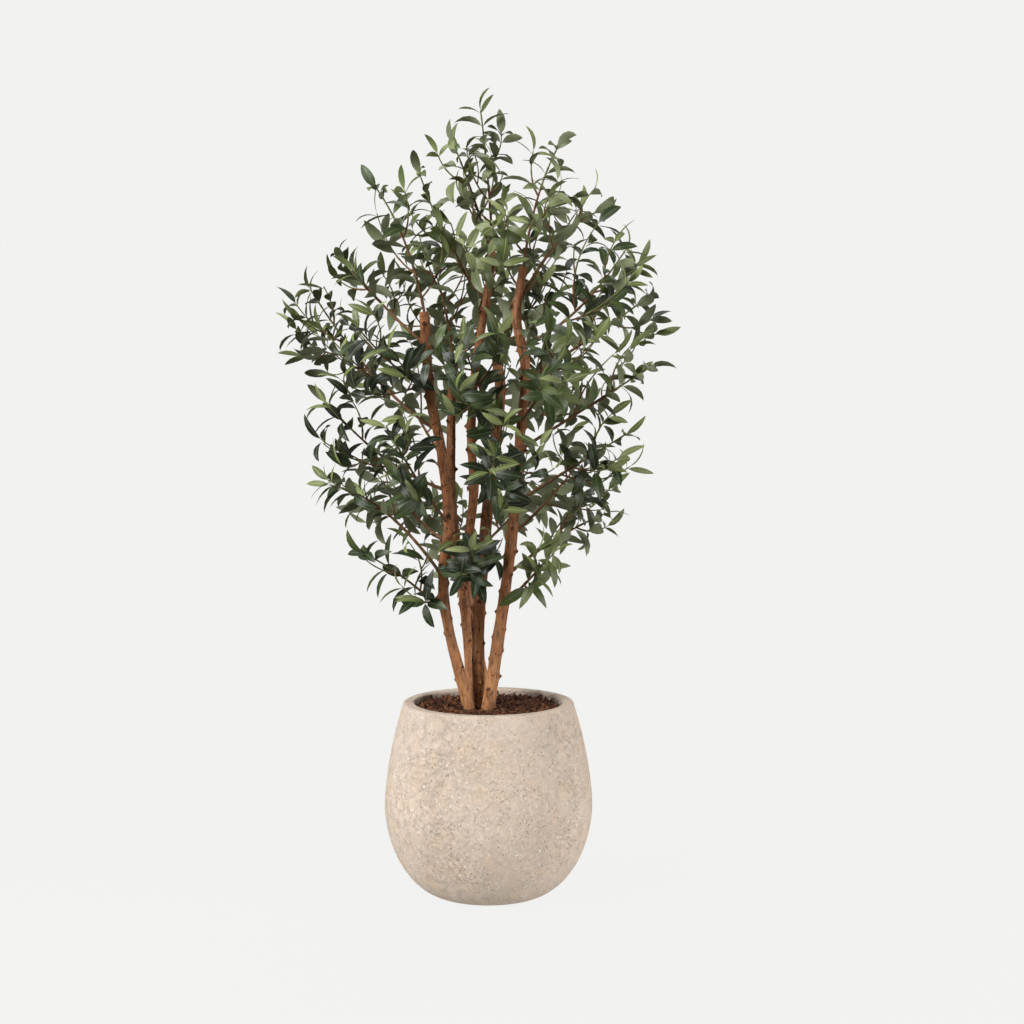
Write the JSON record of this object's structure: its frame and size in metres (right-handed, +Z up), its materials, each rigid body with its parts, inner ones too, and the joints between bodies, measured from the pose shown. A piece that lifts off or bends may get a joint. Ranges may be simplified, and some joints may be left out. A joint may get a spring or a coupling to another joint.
{
  "type": "artificial potted olive tree",
  "caption": "Artificial olive tree: natural wood stems with wired sprays of narrow leaves, standing in bark chips in a rounded stone-effect planter.",
  "frame": {"origin": "centre of the planter's flat underside", "axes": "+Z up along the stems, -Y towards the viewer of the picture, +X to that viewer's right"},
  "size_m": [0.7455, 0.7119, 1.5516],
  "materials": {
    "stone_effect": "matte, pale beige cast stone with fine pits",
    "bark_chips": "matte dark red-brown bark chips",
    "stem_wood": "peeled orange-brown wood with knots",
    "bough_brown": "brown coated wire",
    "leaf_green": "satin green leaf cloth, greyer underneath"
  },
  "bodies": {
    "root": {"bark_fill": "bark_chips", "bough_back_left": "bough_brown", "bough_back_low": "bough_brown", "bough_back_low_right": "bough_brown", "bough_back_right": "bough_brown", "bough_front_mid": "bough_brown", "bough_front_right": "bough_brown", "bough_left_front": "bough_brown", "bough_left_high": "bough_brown", "bough_left_inner": "bough_brown", "bough_left_low": "bough_brown", "bough_left_mid": "bough_brown", "bough_left_shoulder": "bough_brown", "bough_low_right": "bough_brown", "bough_right_high": "bough_brown", "bough_right_inner": "bough_brown", "bough_right_low": "bough_brown", "bough_right_mid": "bough_brown", "bough_right_mid_low": "bough_brown", "bough_right_shoulder": "bough_brown", "bough_right_upper": "bough_brown", "leaves_back_high": "leaf_green", "leaves_back_left": "leaf_green", "leaves_back_low": "leaf_green", "leaves_back_low_right": "leaf_green", "leaves_back_right": "leaf_green", "leaves_front_high": "leaf_green", "leaves_front_low": "leaf_green", "leaves_front_mid": "leaf_green", "leaves_front_right": "leaf_green", "leaves_front_top": "leaf_green", "leaves_leader_back": "leaf_green", "leaves_leader_middle": "leaf_green", "leaves_leader_right": "leaf_green", "leaves_leader_tall": "leaf_green", "leaves_left_front": "leaf_green", "leaves_left_high": "leaf_green", "leaves_left_high_front": "leaf_green", "leaves_left_inner": "leaf_green", "leaves_left_low": "leaf_green", "leaves_left_mid": "leaf_green", "leaves_left_shoulder": "leaf_green", "leaves_low_left": "leaf_green", "leaves_low_right": "leaf_green", "leaves_right_high": "leaf_green", "leaves_right_inner": "leaf_green", "leaves_right_low": "leaf_green", "leaves_right_mid": "leaf_green", "leaves_right_mid_low": "leaf_green", "leaves_right_shoulder": "leaf_green", "leaves_right_upper": "leaf_green", "leaves_top_left": "leaf_green", "leaves_upper_inner": "leaf_green", "leaves_upper_left": "leaf_green", "planter": "stone_effect", "stem_back": "stem_wood", "stem_left": "stem_wood", "stem_middle": "stem_wood", "stem_right": "stem_wood", "stem_tall": "stem_wood"}
  },
  "joints": []
}
